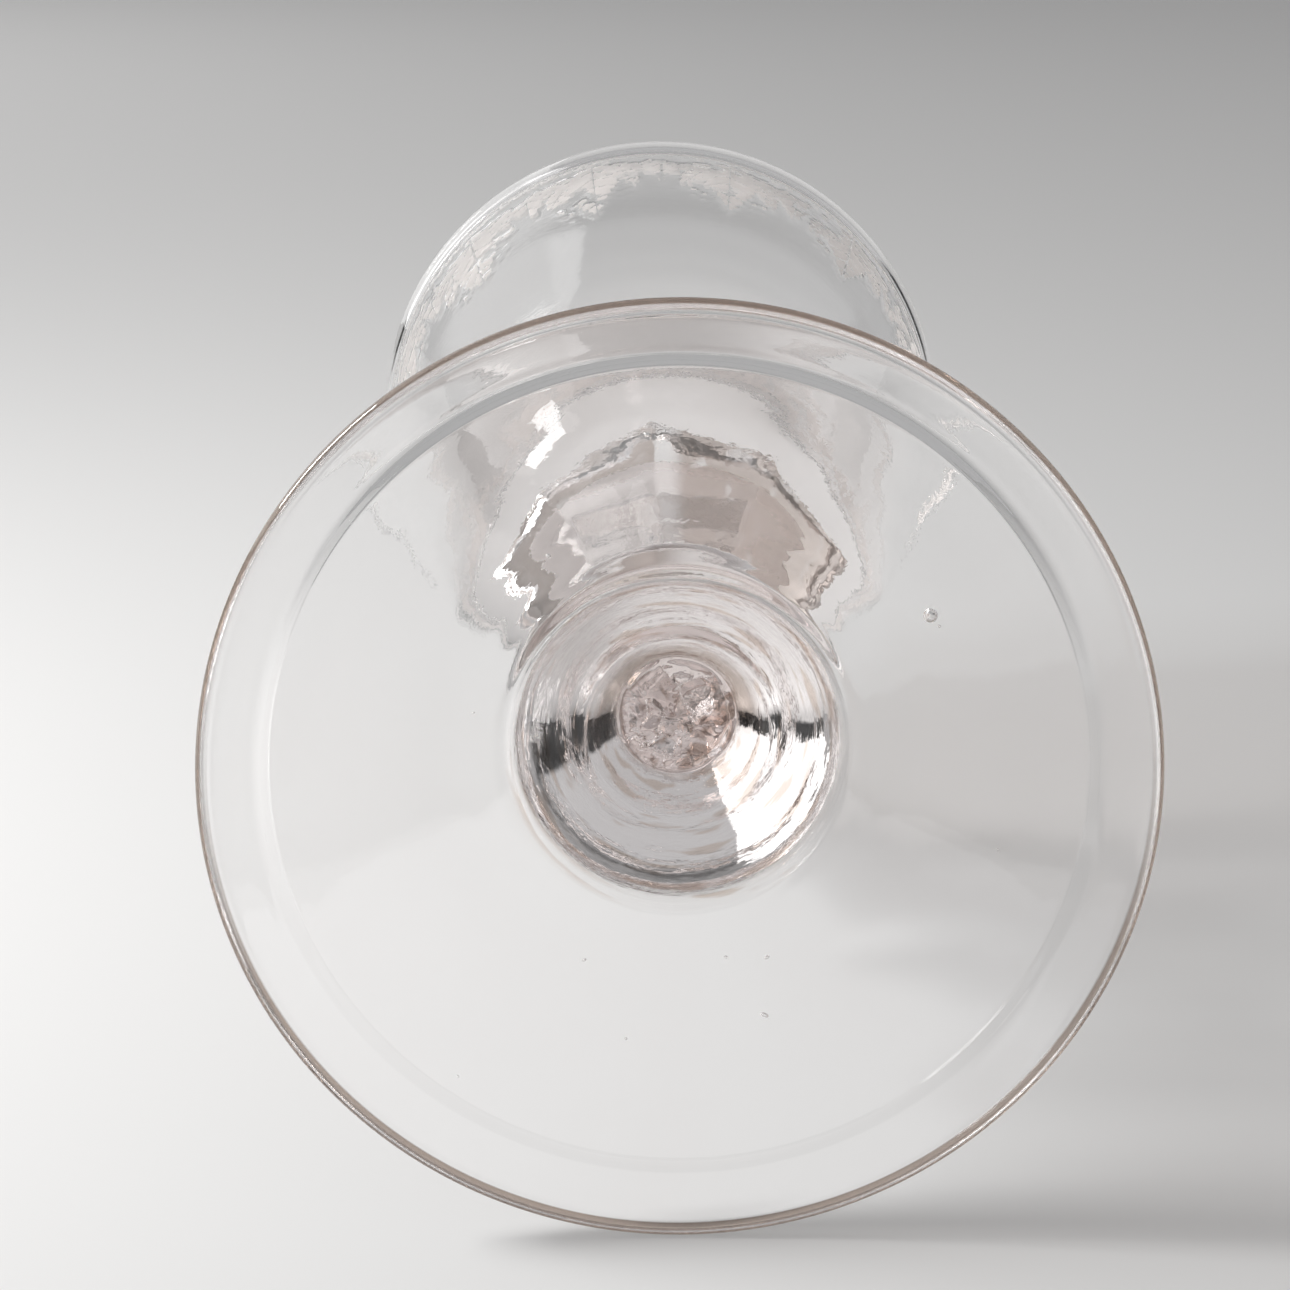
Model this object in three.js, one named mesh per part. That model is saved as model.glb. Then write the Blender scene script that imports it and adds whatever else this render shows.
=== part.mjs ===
// Stemmed, blown glass goblet on a high conical foot with a folded rim.
// Millimetres, +Z up. The origin is the centre of the foot's contact ring.
// Every piece is a gather of its own, fused face to face to its neighbour.
import * as THREE from 'three';

// ---------- driving dimensions, mm ----------
const FOOT_R = 50;            // outer radius of the foot
const FOLD_INNER_R = 43.0;    // inner lip of the turned-under rim
const FOLD_LIP_Z = 2.7;       // height of the lip's lower edge over the contact plane
const DOME_R = 18.55;         // where the cone steepens into the dome
const DOME_Z = 13.9;
const SCAR_R = 6.7;           // broken pontil at the top of the dome
const SCAR_SEAT_Z = 27.6;
const SCAR_LOW_Z = 26.7;
const NECK_R = 10.9;          // narrowest place between foot and knop
const NECK_Z = 40;            // seam: foot to knop

const KNOP_R = 16.5;
const KNOP_WIDEST_Z = 47.5;
const KNOP_TOP_Z = 64.5;      // seam: knop to the collar over it

const STEM_MERESE_R = 13.4;
const PEDESTAL_BASE_Z = 67.5; // seam: collar to pedestal
const PEDESTAL_SIDES = 8;
const PEDESTAL_TURN = 6.5 * Math.PI / 180;
const SHOULDER_R = 20.4;      // over the corners
const SHOULDER_Z = 89;
const PEDESTAL_TOP_Z = 98;    // seam: pedestal to the collar under the bowl

const BOWL_MERESE_R = 13.8;
const BOWL_BASE_Z = 102;      // seam: collar to bowl
const BOWL_BODY_R = 28.9;     // where the round base meets the straight funnel
const BOWL_BODY_Z = 134;
const WELL_Z = 128;           // bottom of the space inside the bowl
const RIM_R = 43.5;
const HEIGHT = 219;

const SEGMENTS = 56;

// ---------- glass ----------
function glass(color, roughness = 0.04) {
  return new THREE.MeshStandardMaterial({
    color, roughness, metalness: 0, transparent: true, opacity: 0.4,
  });
}
const clearGlass = 0xe4e0df;
const thickGlass = 0xd8cfce;
const roughGlass = 0xb9aaa4;

// A body of revolution from a profile of [radius, height] pairs that starts
// and ends on the axis. Profiles run from the bottom, along the outside, up.
function turned(name, profile, material, segments = SEGMENTS, turn = 0) {
  const points = profile.map(([r, z]) => new THREE.Vector2(r, z));
  const geometry = new THREE.LatheGeometry(points, segments);
  geometry.rotateX(Math.PI / 2);
  if (turn) geometry.rotateZ(turn);
  const mesh = new THREE.Mesh(geometry, material);
  mesh.name = name;
  return mesh;
}

// ---------- foot ----------
// Underside from the scar's seat outwards, then the folded rim, then the top,
// which rises as a hollow-based trunk to the neck under the knop.
const foot = turned('foot', [
  [0, SCAR_SEAT_Z],
  [SCAR_R, SCAR_SEAT_Z],
  [7.2, 25.9],
  [8.5, 23.9],
  [10.0, 21.75],
  [12.0, 21.2],
  [14.0, 20.5],
  [16.0, 18.2],
  [17.6, 15.95],
  [DOME_R, DOME_Z],
  [20.2, 12.95],
  [23.5, 11.6],
  [28.5, 9.6],
  [33.5, 7.6],
  [38.5, 5.6],
  [41.4, 4.5],
  [FOLD_INNER_R - 0.25, 3.92],
  [FOLD_INNER_R + 0.8, FOLD_LIP_Z],
  [44.15, 2.42],
  [45.2, 1.95],
  [46.8, 1.22],
  [48.1, 0.62],
  [48.6, 0.32],
  [48.9, 0],
  [49.5, 0],
  [49.85, 0.45],
  [FOOT_R, 1.0],
  [49.88, 1.55],
  [49.5, 2.12],
  [48.9, 2.62],
  [48.0, 3.2],
  [46.8, 3.9],
  [45.0, 4.8],
  [41.0, 6.75],
  [35.0, 9.45],
  [29.0, 12.1],
  [24.0, 14.3],
  [21.2, 15.3],
  [19.6, 16.0],
  [18.4, 17.2],
  [17.6, 19.0],
  [17.1, 22.0],
  [16.4, 25.0],
  [15.5, 28.0],
  [14.5, 31.0],
  [13.6, 34.0],
  [12.8, 37.0],
  [11.7, 39.0],
  [NECK_R, NECK_Z],
  [0, NECK_Z],
], glass(clearGlass));

// ---------- broken pontil ----------
// A ragged patch of glass left at the top of the dome.
const pontilScar = turned('pontil_scar', [
  [0, SCAR_LOW_Z + 0.3],
  [1.6, SCAR_LOW_Z],
  [2.9, SCAR_LOW_Z + 0.45],
  [4.4, SCAR_LOW_Z + 0.1],
  [5.6, SCAR_LOW_Z + 0.35],
  [6.2, SCAR_LOW_Z + 0.6],
  [6.4, SCAR_SEAT_Z],
  [0, SCAR_SEAT_Z],
], glass(roughGlass, 0.55), 18, 0.1);

// ---------- knop ----------
// A solid knop, widest below its middle, drawn in under the collar.
const basalKnop = turned('basal_knop', [
  [0, NECK_Z],
  [NECK_R, NECK_Z],
  [13.4, 41.0],
  [15.3, 42.8],
  [16.25, 45.0],
  [KNOP_R, KNOP_WIDEST_Z],
  [16.25, 50.1],
  [15.55, 53.0],
  [14.4, 56.0],
  [13.0, 58.8],
  [11.8, 61.0],
  [11.4, 62.8],
  [11.6, KNOP_TOP_Z],
  [0, KNOP_TOP_Z],
], glass(thickGlass), 40);

// ---------- collars ----------
function merese(name, z0, z1, r0, rMax, r1) {
  const h = z1 - z0;
  return turned(name, [
    [0, z0],
    [r0, z0],
    [r0 + (rMax - r0) * 0.80, z0 + h * 0.14],
    [rMax, z0 + h * 0.38],
    [rMax, z0 + h * 0.60],
    [r1 + (rMax - r1) * 0.70, z0 + h * 0.86],
    [r1, z1],
    [0, z1],
  ], glass(thickGlass), 40);
}
const stemMerese = merese('stem_merese', KNOP_TOP_Z, PEDESTAL_BASE_Z,
  11.6, STEM_MERESE_R, 8.8);

// ---------- eight-sided pedestal ----------
// Eight flat flanks that widen upwards to a rounded shoulder.
const pedestalStem = turned('pedestal_stem', [
  [0, PEDESTAL_BASE_Z],
  [8.8, PEDESTAL_BASE_Z],
  [9.4, 70.5],
  [11.2, 74.0],
  [14.2, 79.0],
  [17.2, 83.8],
  [19.4, 86.9],
  [SHOULDER_R, SHOULDER_Z],
  [20.1, 90.8],
  [18.6, 93.0],
  [15.8, 95.2],
  [12.6, 96.9],
  [10.2, PEDESTAL_TOP_Z],
  [0, PEDESTAL_TOP_Z],
], glass(thickGlass), PEDESTAL_SIDES, PEDESTAL_TURN);

const bowlMerese = merese('bowl_merese', PEDESTAL_TOP_Z, BOWL_BASE_Z,
  10.2, BOWL_MERESE_R, 10.5);

// ---------- bowl ----------
const flare = (RIM_R - BOWL_BODY_R) / (HEIGHT - BOWL_BODY_Z);
const outside = (z) => BOWL_BODY_R + flare * (z - BOWL_BODY_Z);
const bowl = turned('bowl', [
  [0, BOWL_BASE_Z],
  [10.5, BOWL_BASE_Z],
  [13.8, 102.8],
  [17.5, 104.7],
  [20.8, 107.6],
  [23.5, 111.6],
  [25.6, 116.8],
  [27.1, 123.2],
  [28.15, 129.4],
  [outside(137), 137],
  [outside(150), 150],
  [outside(165), 165],
  [outside(180), 180],
  [outside(195), 195],
  [outside(208), 208],
  [RIM_R - 0.05, HEIGHT - 1.4],
  [RIM_R - 0.1, HEIGHT - 0.6],
  [RIM_R - 0.5, HEIGHT],
  [RIM_R - 1.2, HEIGHT],
  [RIM_R - 1.65, HEIGHT - 0.6],
  [RIM_R - 1.75, HEIGHT - 1.6],
  [outside(205) - 1.75, 205],
  [outside(190) - 1.9, 190],
  [outside(175) - 2.1, 175],
  [outside(160) - 2.5, 160],
  [outside(150) - 3.1, 150],
  [outside(142) - 4.4, 142],
  [23.4, 137.0],
  [20.4, 133.2],
  [15.8, 130.2],
  [9.5, 128.5],
  [0, WELL_Z],
], glass(clearGlass));

// ---------- the whole glass ----------
const goblet = new THREE.Group();
goblet.name = 'stemmed_goblet';
goblet.add(foot, pontilScar, basalKnop, stemMerese, pedestalStem,
  bowlMerese, bowl);

export default goblet;
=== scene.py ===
import math

import bpy
import numpy as np
from mathutils import Matrix, Vector


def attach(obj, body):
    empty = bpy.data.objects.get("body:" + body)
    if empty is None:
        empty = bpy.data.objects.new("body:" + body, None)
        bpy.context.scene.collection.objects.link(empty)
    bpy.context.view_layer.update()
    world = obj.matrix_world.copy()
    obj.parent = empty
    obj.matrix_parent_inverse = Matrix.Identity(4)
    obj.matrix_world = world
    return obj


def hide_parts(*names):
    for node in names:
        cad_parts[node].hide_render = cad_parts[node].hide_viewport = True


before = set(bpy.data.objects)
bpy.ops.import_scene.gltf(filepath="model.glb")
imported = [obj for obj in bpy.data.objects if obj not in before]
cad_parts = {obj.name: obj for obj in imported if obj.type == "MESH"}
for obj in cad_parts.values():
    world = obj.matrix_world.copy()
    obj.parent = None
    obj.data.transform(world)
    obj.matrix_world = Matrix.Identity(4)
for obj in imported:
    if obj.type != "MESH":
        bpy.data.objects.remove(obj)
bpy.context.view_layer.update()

MM = 0.001
SEAM_GAP = 0.012  # mm that each fused face stands back from its seam

# ------------------------------------------------------------ noise, all seeded


def table(seed, n=4096):
    return np.random.default_rng(seed).uniform(-1.0, 1.0, n)


def noise1(x, seed):
    t = table(seed)
    i = np.floor(x).astype(int)
    f = x - i
    f = f * f * f * (f * (f * 6 - 15) + 10)
    return t[i % 4096] * (1 - f) + t[(i + 1) % 4096] * f


def noise2(x, y, seed):
    t = table(seed)
    i, j = np.floor(x).astype(int), np.floor(y).astype(int)
    fx, fy = x - i, y - j
    fx, fy = fx * fx * (3 - 2 * fx), fy * fy * (3 - 2 * fy)
    h = lambda a, b: t[(a * 7919 + b * 104729 + (a ^ b) * 31) % 4096]
    return (
        h(i, j) * (1 - fx) * (1 - fy)
        + h(i + 1, j) * fx * (1 - fy)
        + h(i, j + 1) * (1 - fx) * fy
        + h(i + 1, j + 1) * fx * fy
    )


def rings(r, th, wave, seed, off=0.25):
    """Tool rings: nearly round, a little off centre, fading in and out around the axis."""
    rng = np.random.default_rng(seed)
    a = rng.uniform(0, 2 * math.pi, 8)
    wob = (
        off * np.cos(th - a[0])
        + 0.35 * off * np.cos(2 * th - a[1])
        + 0.16 * off * np.cos(5 * th - a[2])
    )
    u = (r + wob) / wave
    w = 0.5 + 0.5 * np.sin(th * 2 + a[3] + 0.22 * u)
    return noise1(u + 100, seed + 1) * w + noise1(u + 400, seed + 2) * (1 - w)


def streaks(r, th, wave, seed):
    """Short scratches and cords that run round the axis."""
    u = (r + 0.3 * np.cos(th - 1.1) + 0.12 * np.cos(3 * th)) / wave
    return noise2(u + 50, (th + math.pi) * 5.0 + 9, seed) * smooth(-0.1, 0.5, noise2(u * 0.35 + 20, (th + math.pi) * 2.2 + 3, seed + 1))


def smooth(a, b, x):
    t = np.clip((x - a) / (b - a), 0, 1)
    return t * t * (3 - 2 * t)


# ------------------------------------------------------------ bodies of revolution


def resample(keys):
    """keys: (r, z) on a smooth run, (r, z, step) at a corner that starts a run with that step in mm, (r, z, step, "on") where only the step changes. Returns the points and each interval's run."""
    pts = np.array([k[:2] for k in keys], float)
    corners = [i for i, k in enumerate(keys) if len(k) == 3]
    if corners[-1] != len(keys) - 1:
        corners.append(len(keys) - 1)
    out, runs = [pts[0]], []
    for run, (a, b) in enumerate(zip(corners[:-1], corners[1:])):
        p, step = pts[a : b + 1], keys[a][2]
        d = np.linalg.norm(np.diff(p, axis=0), axis=1)
        t = np.concatenate([[0], np.cumsum(d)])
        if len(p) == 2:
            m = np.array([p[1] - p[0], p[1] - p[0]]) / d[0]
        else:
            s = np.diff(p, axis=0) / d[:, None]
            m = np.empty_like(p)
            m[1:-1] = (s[:-1] * d[1:, None] + s[1:] * d[:-1, None]) / (d[:-1] + d[1:])[:, None]
            m[0], m[-1] = 1.5 * s[0] - 0.5 * m[1], 1.5 * s[-1] - 0.5 * m[-2]
        for k in range(len(d)):
            step = keys[a + k][2] if len(keys[a + k]) == 4 else step
            n = max(1, int(round(d[k] / step)))
            x = (np.arange(1, n + 1) / n)[:, None]
            h = d[k]
            q = (
                (2 * x**3 - 3 * x**2 + 1) * p[k]
                + (x**3 - 2 * x**2 + x) * h * m[k]
                + (-2 * x**3 + 3 * x**2) * p[k + 1]
                + (x**3 - x**2) * h * m[k + 1]
            )
            out.extend(q)
            runs.extend([run] * n)
    return np.array(out), np.array(runs)


def lathe(name, keys, nseg, materials, run_material=None, displace=None, section=None, shift=None, attrs=None, extra=None, sharp=32):
    """A closed body turned about +Z. displace(s, r, z, th) is in mm along the outward normal, section(r, z, th) scales the radius, shift(z) moves the axis."""
    P, runs = resample(keys)
    P[:, 0] = np.maximum(P[:, 0], 0)
    T = np.gradient(P, axis=0)
    T /= np.linalg.norm(T, axis=1)[:, None] + 1e-12
    N = np.stack([T[:, 1], -T[:, 0]], 1)
    s = np.concatenate([[0], np.cumsum(np.linalg.norm(np.diff(P, axis=0), axis=1))])
    th = np.arange(nseg) * 2 * math.pi / nseg
    S, TH = np.meshgrid(s, th, indexing="ij")
    R = np.repeat(P[:, :1], nseg, 1)
    Z = np.repeat(P[:, 1:], nseg, 1)
    masks = {}
    if displace is not None:
        D = displace(S, R, Z, TH)
        if isinstance(D, tuple):
            D, masks = D
        R2 = R + N[:, :1] * D
        Z2 = Z + N[:, 1:] * D
    else:
        R2, Z2 = R.copy(), Z.copy()
    if section is not None:
        R2 = R2 * section(R, Z, TH)
    X, Y = R2 * np.cos(TH), R2 * np.sin(TH)
    if shift is not None:
        dx, dy = shift(Z)
        X, Y = X + dx, Y + dy
    n = len(P)
    V = np.stack([X, Y, Z2], 2)
    first_pole, last_pole = P[0, 0] < 1e-6, P[-1, 0] < 1e-6
    lo, hi = (1 if first_pole else 0), (n - 1 if last_pole else n)
    body = V[lo:hi].reshape(-1, 3)
    verts = [body]
    idx = np.arange((hi - lo) * nseg).reshape(hi - lo, nseg)
    nxt = np.roll(idx, -1, axis=1)
    quads = np.stack([idx[:-1], nxt[:-1], nxt[1:], idx[1:]], 2).reshape(-1, 4)
    qrun = np.repeat(runs[lo : hi - 1], nseg)
    faces, frun = quads.tolist(), qrun.tolist()
    count = len(body)
    if first_pole:
        verts.append(V[0].mean(0)[None])
        faces += np.stack([np.full(nseg, count), nxt[0], idx[0]], 1).tolist()
        frun += [int(runs[0])] * nseg
        count += 1
    if last_pole:
        verts.append(V[-1].mean(0)[None])
        faces += np.stack([np.full(nseg, count), idx[-1], nxt[-1]], 1).tolist()
        frun += [int(runs[-1])] * nseg
        count += 1
    fmat = [(run_material or {}).get(r, 0) for r in frun]
    for v, f, m in extra or []:
        faces += (np.asarray(f) + count).tolist() if not isinstance(f, list) else [[q + count for q in x] for x in f]
        fmat += [m] * len(f)
        verts.append(np.asarray(v))
        count += len(v)
    allv = np.concatenate(verts) * MM
    me = bpy.data.meshes.new(name)
    me.from_pydata(allv.tolist(), [], faces)
    me.polygons.foreach_set("material_index", fmat)
    for m in materials:
        me.materials.append(m)
    for key, value in masks.items():
        a = me.attributes.new(key, "FLOAT", "POINT")
        data = np.zeros(count)
        data[: len(body)] = value[lo:hi].reshape(-1)
        a.data.foreach_set("value", data)
    me.shade_smooth()
    me.set_sharp_from_angle(angle=math.radians(sharp))
    me.update()
    ob = bpy.data.objects.new(name, me)
    bpy.context.scene.collection.objects.link(ob)
    return ob


def bubble(x, y, z, r, long=1.0, turn=0.0, flat=1.0, nu=18, nv=12):
    """A closed hollow in the glass: its faces look inwards."""
    vs, fs = [], []
    for i in range(1, nv):
        a = math.pi * i / nv
        for j in range(nu):
            b = 2 * math.pi * j / nu
            p = np.array([r * long * math.sin(a) * math.cos(b), r * math.sin(a) * math.sin(b), r * flat * math.cos(a)])
            c, s = math.cos(turn), math.sin(turn)
            vs.append([x + c * p[0] - s * p[1], y + s * p[0] + c * p[1], z + p[2]])
    top, bot = len(vs), len(vs) + 1
    vs += [[x, y, z + r * flat], [x, y, z - r * flat]]
    for i in range(nv - 2):
        for j in range(nu):
            a, b = i * nu + j, i * nu + (j + 1) % nu
            fs.append([a, b, b + nu, a + nu])
    for j in range(nu):
        fs.append([top, (j + 1) % nu, j])
        k = (nv - 2) * nu
        fs.append([bot, k + j, k + (j + 1) % nu])
    return vs, fs


# ------------------------------------------------------------ materials


def glass(name, thick_shadow=None, striae_to=None, painted_shade_from=None, shade_and_stain=(0.66, 0.56, 0.50), thin=(0.997, 0.994, 0.993), thick=(0.962, 0.94, 0.934), thick_from=None, painted_edge_shade_from=None, rough=(0.0, 0.03), engraved=False, fractured=False, cords=0.05, shadow=0.86, ior=1.51):
    """Fire-polished glass. thick_from(N, L) returns the socket that says where the glass is thick, and shows its cast
    there. The edge mask function returns the socket that says where the glass is seen edge on, and there paints a dark
    brown outline: painted shade for the dark edge that refraction shows.
    """
    m = bpy.data.materials.new(name)
    m.use_nodes = True
    nt = m.node_tree
    nt.nodes.clear()
    N, L = nt.nodes.new, nt.links.new
    out = N("ShaderNodeOutputMaterial")
    p = N("ShaderNodeBsdfPrincipled")
    p.inputs["Base Color"].default_value = (*thick, 1)
    p.inputs["Transmission Weight"].default_value = 1.0
    p.inputs["IOR"].default_value = ior
    tc = N("ShaderNodeTexCoord")

    def mix(factor, a, b):
        c = N("ShaderNodeMix")
        c.data_type = "RGBA"
        for socket, value in ((c.inputs[6], a), (c.inputs[7], b)):
            if isinstance(value, tuple):
                socket.default_value = (*value, 1)
            else:
                L(value, socket)
        L(factor, c.inputs[0])
        return c.outputs[2]

    def noise(scale, detail, stretch=None, distortion=0.0):
        n = N("ShaderNodeTexNoise")
        n.inputs["Scale"].default_value = scale
        n.inputs["Detail"].default_value = detail
        n.inputs["Distortion"].default_value = distortion
        if stretch is None:
            L(tc.outputs["Object"], n.inputs["Vector"])
        else:
            mp = N("ShaderNodeMapping")
            mp.inputs["Scale"].default_value = stretch
            L(tc.outputs["Object"], mp.inputs[0])
            L(mp.outputs[0], n.inputs["Vector"])
        return n.outputs[0]

    def remap(socket, a0, a1, b0, b1, smooth=True):
        r = N("ShaderNodeMapRange")
        if smooth:
            r.interpolation_type = "SMOOTHSTEP"
        for k, v in zip((1, 2, 3, 4), (a0, a1, b0, b1)):
            r.inputs[k].default_value = v
        L(socket, r.inputs[0])
        return r.outputs[0]

    # colour: cloudy cast, more of it where the glass is thick
    color = thick
    if thick_from is not None:
        color = mix(thick_from(N, L), thin, thick)
    cloud = remap(noise(45.0, 3.0, distortion=0.6), 0.35, 0.7, 0.0, 1.0)
    ml = N("ShaderNodeMix")
    ml.data_type = "RGBA"
    ml.blend_type = "MULTIPLY"
    L(cloud, ml.inputs[0])
    if isinstance(color, tuple):
        ml.inputs[6].default_value = (*color, 1)
    else:
        L(color, ml.inputs[6])
    ml.inputs[7].default_value = (0.992, 0.988, 0.987, 1)
    color = ml.outputs[2]
    combed = None
    if striae_to is not None:
        # cords: thin brownish arcs of the gather that run round the axis
        sep = N("ShaderNodeSeparateXYZ")
        L(tc.outputs["Object"], sep.inputs[0])
        flat = N("ShaderNodeCombineXYZ")
        L(sep.outputs[0], flat.inputs[0])
        L(sep.outputs[1], flat.inputs[1])
        nr = N("ShaderNodeVectorMath")
        nr.operation = "NORMALIZE"
        L(flat.outputs[0], nr.inputs[0])
        ln = N("ShaderNodeVectorMath")
        ln.operation = "LENGTH"
        L(flat.outputs[0], ln.inputs[0])
        wide = N("ShaderNodeVectorMath")
        wide.operation = "SCALE"
        L(nr.outputs[0], wide.inputs[0])
        wide.inputs[3].default_value = 1.9
        reach = N("ShaderNodeMath")
        reach.operation = "MULTIPLY"
        L(ln.outputs["Value"], reach.inputs[0])
        reach.inputs[1].default_value = 1300.0
        lift = N("ShaderNodeCombineXYZ")
        L(reach.outputs[0], lift.inputs[2])
        ad = N("ShaderNodeVectorMath")
        ad.operation = "ADD"
        L(wide.outputs[0], ad.inputs[0])
        L(lift.outputs[0], ad.inputs[1])
        ns = N("ShaderNodeTexNoise")
        ns.inputs["Scale"].default_value = 1.0
        ns.inputs["Detail"].default_value = 2.0
        L(ad.outputs[0], ns.inputs["Vector"])
        arcs = remap(ns.outputs[0], 0.54, 0.66, 0.0, 1.0)
        inside = remap(ln.outputs["Value"], (striae_to - 1.0) * MM, striae_to * MM, 1.0, 0.0)
        both = N("ShaderNodeMath")
        both.operation = "MULTIPLY"
        L(arcs, both.inputs[0])
        L(inside, both.inputs[1])
        color = mix(both.outputs[0], color, (0.66, 0.54, 0.46))
        fine = N("ShaderNodeVectorMath")
        fine.operation = "SCALE"
        L(nr.outputs[0], fine.inputs[0])
        fine.inputs[3].default_value = 3.4
        deep = N("ShaderNodeMath")
        deep.operation = "MULTIPLY"
        L(ln.outputs["Value"], deep.inputs[0])
        deep.inputs[1].default_value = 2300.0
        lift2 = N("ShaderNodeCombineXYZ")
        L(deep.outputs[0], lift2.inputs[2])
        ad2 = N("ShaderNodeVectorMath")
        ad2.operation = "ADD"
        L(fine.outputs[0], ad2.inputs[0])
        L(lift2.outputs[0], ad2.inputs[1])
        ns2 = N("ShaderNodeTexNoise")
        ns2.inputs["Scale"].default_value = 1.0
        ns2.inputs["Detail"].default_value = 3.0
        L(ad2.outputs[0], ns2.inputs["Vector"])
        comb = N("ShaderNodeMath")
        comb.operation = "MULTIPLY"
        L(remap(ns2.outputs[0], 0.35, 0.65, 0.0, 14.0, smooth=False), comb.inputs[0])
        L(inside, comb.inputs[1])
        combed = comb.outputs[0]
    # painted shade: darker brown mottling wherever the mask says
    if painted_shade_from is not None:
        color = mix(painted_shade_from(N, L), color, shade_and_stain)
    # painted shade: a dark brown outline where the glass is seen edge on, standing in for the dark edge that refraction
    # shows there
    if painted_edge_shade_from is not None:
        color = mix(painted_edge_shade_from(N, L), color, PAINTED_EDGE_SHADE)
    # roughness: handling wear in faint clouds
    roughness = remap(noise(160.0, 5.0), 0.45, 0.75, rough[0], rough[1])
    height = noise(620.0, 2.0, stretch=(1.0, 1.0, 2.2), distortion=0.8)
    strength = cords
    if combed is not None:
        sm = N("ShaderNodeMath")
        sm.operation = "ADD"
        L(height, sm.inputs[0])
        L(combed, sm.inputs[1])
        height = sm.outputs[0]
    if engraved:
        at = N("ShaderNodeAttribute")
        at.attribute_name = "engraved"
        cut = remap(at.outputs["Fac"], 0.25, 0.6, 0.0, 1.0)
        grit = noise(3800.0, 2.0)
        color = mix(cut, color, (0.93, 0.885, 0.86))
        r2 = remap(grit, 0.3, 0.7, 0.50, 0.68)
        rm = N("ShaderNodeMix")
        rm.data_type = "FLOAT"
        L(cut, rm.inputs[0])
        L(roughness, rm.inputs[2])
        L(r2, rm.inputs[3])
        roughness = rm.outputs[0]
        mm = N("ShaderNodeMath")
        mm.operation = "MULTIPLY"
        L(cut, mm.inputs[0])
        L(grit, mm.inputs[1])
        ad = N("ShaderNodeMath")
        ad.operation = "MULTIPLY_ADD"
        L(mm.outputs[0], ad.inputs[0])
        ad.inputs[1].default_value = 3.0
        L(height, ad.inputs[2])
        height = ad.outputs[0]
    if fractured:
        at = N("ShaderNodeAttribute")
        at.attribute_name = "crack"
        crack = at.outputs["Fac"]
        # brown stains over the broken face, the scar's own colour
        shade_and_stain = remap(noise(230.0, 3.0, distortion=1.4), 0.46, 0.64, 0.0, 1.0)
        color = mix(shade_and_stain, color, (0.30, 0.215, 0.17))
        # painted shade: near-black in the sunk clefts between the shards
        cleft = N("ShaderNodeAttribute")
        cleft.attribute_name = "cleft"
        color = mix(cleft.outputs["Fac"], color, (0.05, 0.035, 0.03))
        roughness = remap(noise(900.0, 4.0), 0.45, 0.75, 0.0, 0.12)
        rm = N("ShaderNodeMix")
        rm.data_type = "FLOAT"
        L(crack, rm.inputs[0])
        L(roughness, rm.inputs[2])
        rm.inputs[3].default_value = 0.5
        roughness = rm.outputs[0]
    L(color, p.inputs["Base Color"])
    L(roughness, p.inputs["Roughness"])
    bp = N("ShaderNodeBump")
    bp.inputs["Strength"].default_value = strength
    bp.inputs["Distance"].default_value = 0.0001
    L(height, bp.inputs["Height"])
    L(bp.outputs[0], p.inputs["Normal"])
    # what a lamp's light keeps through one surface: less at a grazing angle
    lw = N("ShaderNodeLayerWeight")
    lw.inputs["Blend"].default_value = 0.5
    tr = N("ShaderNodeBsdfTransparent")
    kept = (shadow, shadow * 0.99, shadow * 0.985)
    if thick_shadow is not None:
        kept = mix(thick_from(N, L), kept, (thick_shadow, thick_shadow * 0.985, thick_shadow * 0.98))
    L(mix(remap(lw.outputs["Facing"], 0.45, 1.0, 0.0, 1.0), kept, (0.25, 0.24, 0.235)), tr.inputs[0])
    lp = N("ShaderNodeLightPath")
    md = N("ShaderNodeMixShader")
    pass_on = N("ShaderNodeBsdfTransparent")
    pass_on.inputs[0].default_value = (0.972, 0.967, 0.964, 1)
    L(lp.outputs["Is Diffuse Ray"], md.inputs[0])
    L(p.outputs[0], md.inputs[1])
    L(pass_on.outputs[0], md.inputs[2])
    ms = N("ShaderNodeMixShader")
    L(lp.outputs["Is Shadow Ray"], ms.inputs[0])
    L(md.outputs[0], ms.inputs[1])
    L(tr.outputs[0], ms.inputs[2])
    L(ms.outputs[0], out.inputs["Surface"])
    return m


# painted shade: colour of the dark outline painted on the foot's outer rim
PAINTED_EDGE_SHADE = (0.20, 0.135, 0.10)


def height_mask(z_thick, z_thin):
    """1 where the object coordinate z is at z_thick mm, 0 at z_thin mm."""

    def build(N, L):
        tc = N("ShaderNodeTexCoord")
        sep = N("ShaderNodeSeparateXYZ")
        L(tc.outputs["Object"], sep.inputs[0])
        mr = N("ShaderNodeMapRange")
        mr.interpolation_type = "SMOOTHSTEP"
        mr.inputs[1].default_value = z_thin * MM
        mr.inputs[2].default_value = z_thick * MM
        L(sep.outputs[2], mr.inputs[0])
        return mr.outputs[0]

    return build


def radius_mask(r0, r1):
    """0 inside the radius r0 mm, 1 beyond r1 mm."""

    def build(N, L):
        tc = N("ShaderNodeTexCoord")
        sep = N("ShaderNodeSeparateXYZ")
        L(tc.outputs["Object"], sep.inputs[0])
        cb = N("ShaderNodeCombineXYZ")
        L(sep.outputs[0], cb.inputs[0])
        L(sep.outputs[1], cb.inputs[1])
        ln = N("ShaderNodeVectorMath")
        ln.operation = "LENGTH"
        L(cb.outputs[0], ln.inputs[0])
        mr = N("ShaderNodeMapRange")
        mr.interpolation_type = "SMOOTHSTEP"
        mr.inputs[1].default_value = r0 * MM
        mr.inputs[2].default_value = r1 * MM
        L(ln.outputs["Value"], mr.inputs[0])
        return mr.outputs[0]

    return build


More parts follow.
